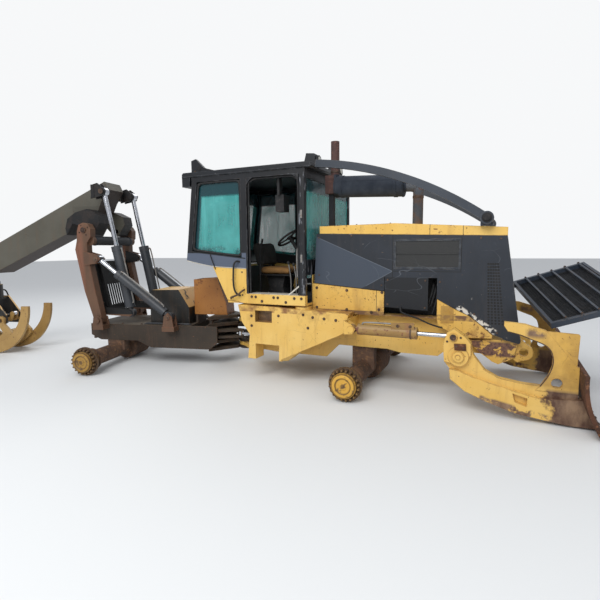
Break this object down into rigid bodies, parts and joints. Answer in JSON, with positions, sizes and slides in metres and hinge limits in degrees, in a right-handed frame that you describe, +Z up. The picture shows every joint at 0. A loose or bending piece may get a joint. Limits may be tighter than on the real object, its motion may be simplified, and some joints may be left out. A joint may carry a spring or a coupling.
{
  "type": "wheel skidder",
  "caption": "Articulated forestry skidder without its wheels: cab, engine hood, front blade, rear arch with boom and log grapple.",
  "frame": {"origin": "on the floor, under the middle of the bounding box", "axes": "+X forward to the blade, +Y to the side with the cab door, +Z up"},
  "size_m": [9.5745, 2.7869, 2.85],
  "materials": {
    "yellow": "worn satin",
    "black_paint": "dusty satin",
    "charcoal": "worn satin",
    "rust": "rusty",
    "hub": "worn satin",
    "chrome": "polished",
    "barrel": "worn",
    "boom_paint": "weathered",
    "glass": "dirty",
    "seat": "worn",
    "tan": "scuffed",
    "orange": "worn",
    "engine": "oily",
    "arch_rust": "rusty",
    "blade_rust": "rusty"
  },
  "bodies": {
    "front": {"front_frame": "yellow", "fairings": "yellow", "front_hitch": "yellow", "blade_pivots": "yellow", "nose": "yellow", "front_axle": "rust", "engine": "engine", "radiator": "black_paint", "hood_top": "yellow", "hood_sides": "charcoal", "lower_panels": "yellow", "limb_risers": "charcoal", "exhaust": "rust", "cab_base": "yellow", "cab_frame": "charcoal", "roof": "charcoal", "roof_fittings": "black_paint", "cab_glass": "glass", "seat": "seat", "console": "black_paint"},
    "grille_door": {"grille_door": "charcoal"},
    "cab_door": {"cab_door": "black_paint", "door_glass": "glass"},
    "blade": {"blade_arms": "yellow", "moldboard": "blade_rust"},
    "lift_barrels": {"lift_barrels": "yellow"},
    "lift_rods": {"lift_rods": "chrome"},
    "rear": {"rear_frame": "arch_rust", "rear_hitch": "arch_rust", "arch_mounts": "arch_rust", "rear_axle": "rust", "deck_cover": "black_paint", "valve_box": "orange"},
    "arch": {"arch": "arch_rust"},
    "boom": {"boom": "boom_paint"},
    "arch_barrels": {"arch_barrels": "barrel"},
    "arch_rods": {"arch_rods": "chrome"},
    "boom_barrels": {"boom_barrels": "barrel"},
    "boom_rods": {"boom_rods": "chrome"},
    "boom_link": {"boom_link": "black_paint"},
    "grapple_head": {"grapple_head": "black_paint"},
    "tong_rear": {"tong_rear": "tan"},
    "tong_front": {"tong_front": "tan"},
    "tong_barrel": {"tong_barrel": "barrel"},
    "tong_rod": {"tong_rod": "chrome"},
    "steer_barrel_near": {"steer_barrel_near": "barrel"},
    "steer_rod_near": {"steer_rod_near": "chrome"},
    "steer_barrel_far": {"steer_barrel_far": "barrel"},
    "steer_rod_far": {"steer_rod_far": "chrome"},
    "hub_front_near": {"hub_front_near": "hub"},
    "hub_front_far": {"hub_front_far": "hub"},
    "hub_rear_near": {"hub_rear_near": "hub"},
    "hub_rear_far": {"hub_rear_far": "hub"}
  },
  "joints": [
    {"name": "articulation", "type": "hinge", "parent": "front", "child": "rear", "pos_m": [0.2735, 0.1934, 0.44], "axis": [0, 0, 1], "range_deg": [-55.2, 28.8]},
    {"name": "steer_barrel_near_swing", "type": "hinge", "parent": "front", "child": "steer_barrel_near", "pos_m": [0.9535, -0.0466, 0.44], "axis": [0, 0, 1], "range_deg": [-2.37, 1.48]},
    {"name": "steer_rod_near_slide", "type": "slide", "parent": "steer_barrel_near", "child": "steer_rod_near", "axis": [-0.9982, 0.0607, 0], "range_m": [-0.0932, 0.17679]},
    {"name": "steer_barrel_far_swing", "type": "hinge", "parent": "front", "child": "steer_barrel_far", "pos_m": [0.9535, 0.4334, 0.44], "axis": [0, 0, 1], "range_deg": [-2.39, 1.48]},
    {"name": "steer_rod_far_slide", "type": "slide", "parent": "steer_barrel_far", "child": "steer_rod_far", "axis": [-0.997, -0.0774, 0], "range_m": [-0.17881, 0.09425]},
    {"name": "blade_lift", "type": "hinge", "parent": "front", "child": "blade", "pos_m": [3.2235, 0.1934, 0.56], "axis": [0, -1, 0], "range_deg": [-28, 10]},
    {"name": "lift_barrel_swing", "type": "hinge", "parent": "front", "child": "lift_barrels", "pos_m": [2.1335, 0.1934, 0.75], "axis": [0, -1, 0], "range_deg": [-0.69, 1.04]},
    {"name": "lift_rod_slide", "type": "slide", "parent": "lift_barrels", "child": "lift_rods", "axis": [1, 0, -0.0048], "range_m": [-0.0347, 0.09356]},
    {"name": "arch_tilt", "type": "hinge", "parent": "rear", "child": "arch", "pos_m": [-1.68826, -0.26673, 0.63], "axis": [-0.2284, 0.9736, 0], "range_deg": [-35, 5]},
    {"name": "arch_barrel_swing", "type": "hinge", "parent": "rear", "child": "arch_barrels", "pos_m": [-0.6514, -0.02353, 0.7], "axis": [0.2284, -0.9736, 0], "range_deg": [-2.53, 14.72]},
    {"name": "arch_rod_slide", "type": "slide", "parent": "arch_barrels", "child": "arch_rods", "axis": [-0.7753, -0.1818, 0.6049], "range_m": [-0.05551, 0.37657]},
    {"name": "boom_lift", "type": "hinge", "parent": "arch", "child": "boom", "pos_m": [-1.82943, -0.29984, 1.89], "axis": [0.2284, -0.9736, 0], "range_deg": [-40, 8]},
    {"name": "boom_barrel_swing", "type": "hinge", "parent": "arch", "child": "boom_barrels", "pos_m": [-1.3037, -0.17653, 0.72], "axis": [0.2284, -0.9736, 0], "range_deg": [-10.21, 2.44]},
    {"name": "boom_rod_slide", "type": "slide", "parent": "boom_barrels", "child": "boom_rods", "axis": [-0.185, -0.0434, 0.9818], "range_m": [-0.27538, 0.05668]},
    {"name": "link_swing", "type": "hinge", "parent": "boom", "child": "boom_link", "pos_m": [-3.91289, -0.78851, 1.42], "axis": [0.2284, -0.9736, 0], "range_deg": [-60, 35]},
    {"name": "grapple_turn", "type": "hinge", "parent": "boom_link", "child": "grapple_head", "pos_m": [-3.91289, -0.78851, 1], "axis": [0, 0, 1], "continuous": true},
    {"name": "tong_open", "type": "hinge", "parent": "grapple_head", "child": "tong_rear", "pos_m": [-4.18549, -0.85245, 0.52], "axis": [-0.2284, 0.9736, 0], "range_deg": [0, 62]},
    {"name": "tong_front_open", "type": "hinge", "parent": "grapple_head", "child": "tong_front", "pos_m": [-3.64029, -0.72457, 0.52], "axis": [0.2284, -0.9736, 0], "range_deg": [-0.5, 62.5]},
    {"name": "tong_barrel_swing", "type": "hinge", "parent": "tong_rear", "child": "tong_barrel", "pos_m": [-4.24683, -0.86683, 0.61], "axis": [0.2284, -0.9736, 0], "range_deg": [-0.5, 62.5]},
    {"name": "tong_rod_slide", "type": "slide", "parent": "tong_barrel", "child": "tong_rod", "axis": [0.9736, 0.2284, 0], "range_m": [-0.2254, 0.002]},
    {"name": "grille_tip", "type": "hinge", "parent": "front", "child": "grille_door", "pos_m": [3.6735, 0.7834, 1.15], "axis": [0.281, -0.9193, -0.2756], "range_deg": [0, 70]},
    {"name": "cab_door_swing", "type": "hinge", "parent": "front", "child": "cab_door", "pos_m": [0.7815, 1.0174, 1.7], "axis": [0, 0, 1], "range_deg": [0, 95]},
    {"name": "hub_front_near_turn", "type": "hinge", "parent": "front", "child": "hub_front_near", "pos_m": [2.1235, -0.8726, 0.184], "axis": [0, 1, 0], "continuous": true},
    {"name": "hub_front_far_turn", "type": "hinge", "parent": "front", "child": "hub_front_far", "pos_m": [2.1235, 1.2594, 0.184], "axis": [0, 1, 0], "continuous": true},
    {"name": "hub_rear_near_turn", "type": "hinge", "parent": "rear", "child": "hub_rear_near", "pos_m": [-1.2842, -1.26688, 0.184], "axis": [-0.2284, 0.9736, 0], "continuous": true},
    {"name": "hub_rear_far_turn", "type": "hinge", "parent": "rear", "child": "hub_rear_far", "pos_m": [-1.77104, 0.80879, 0.184], "axis": [-0.2284, 0.9736, 0], "continuous": true}
  ],
  "couplings": [
    {"joint": "steer_barrel_near_swing", "follows": "articulation", "ratio": 0.033893},
    {"joint": "steer_rod_near_slide", "follows": "articulation", "m_per_rad": -0.18143},
    {"joint": "steer_barrel_far_swing", "follows": "articulation", "ratio": 0.034186},
    {"joint": "steer_rod_far_slide", "follows": "articulation", "m_per_rad": 0.18352},
    {"joint": "lift_barrel_swing", "follows": "blade_lift", "ratio": -0.019129},
    {"joint": "lift_rod_slide", "follows": "blade_lift", "m_per_rad": -0.18735},
    {"joint": "arch_barrel_swing", "follows": "arch_tilt", "ratio": -0.40628},
    {"joint": "arch_rod_slide", "follows": "arch_tilt", "m_per_rad": -0.61318},
    {"joint": "boom_barrel_swing", "follows": "boom_lift", "ratio": 0.2427},
    {"joint": "boom_rod_slide", "follows": "boom_lift", "m_per_rad": 0.39159},
    {"joint": "tong_front_open", "follows": "tong_open", "ratio": 1},
    {"joint": "tong_barrel_swing", "follows": "tong_open", "ratio": 1},
    {"joint": "tong_rod_slide", "follows": "tong_open", "m_per_rad": -0.20645}
  ]
}
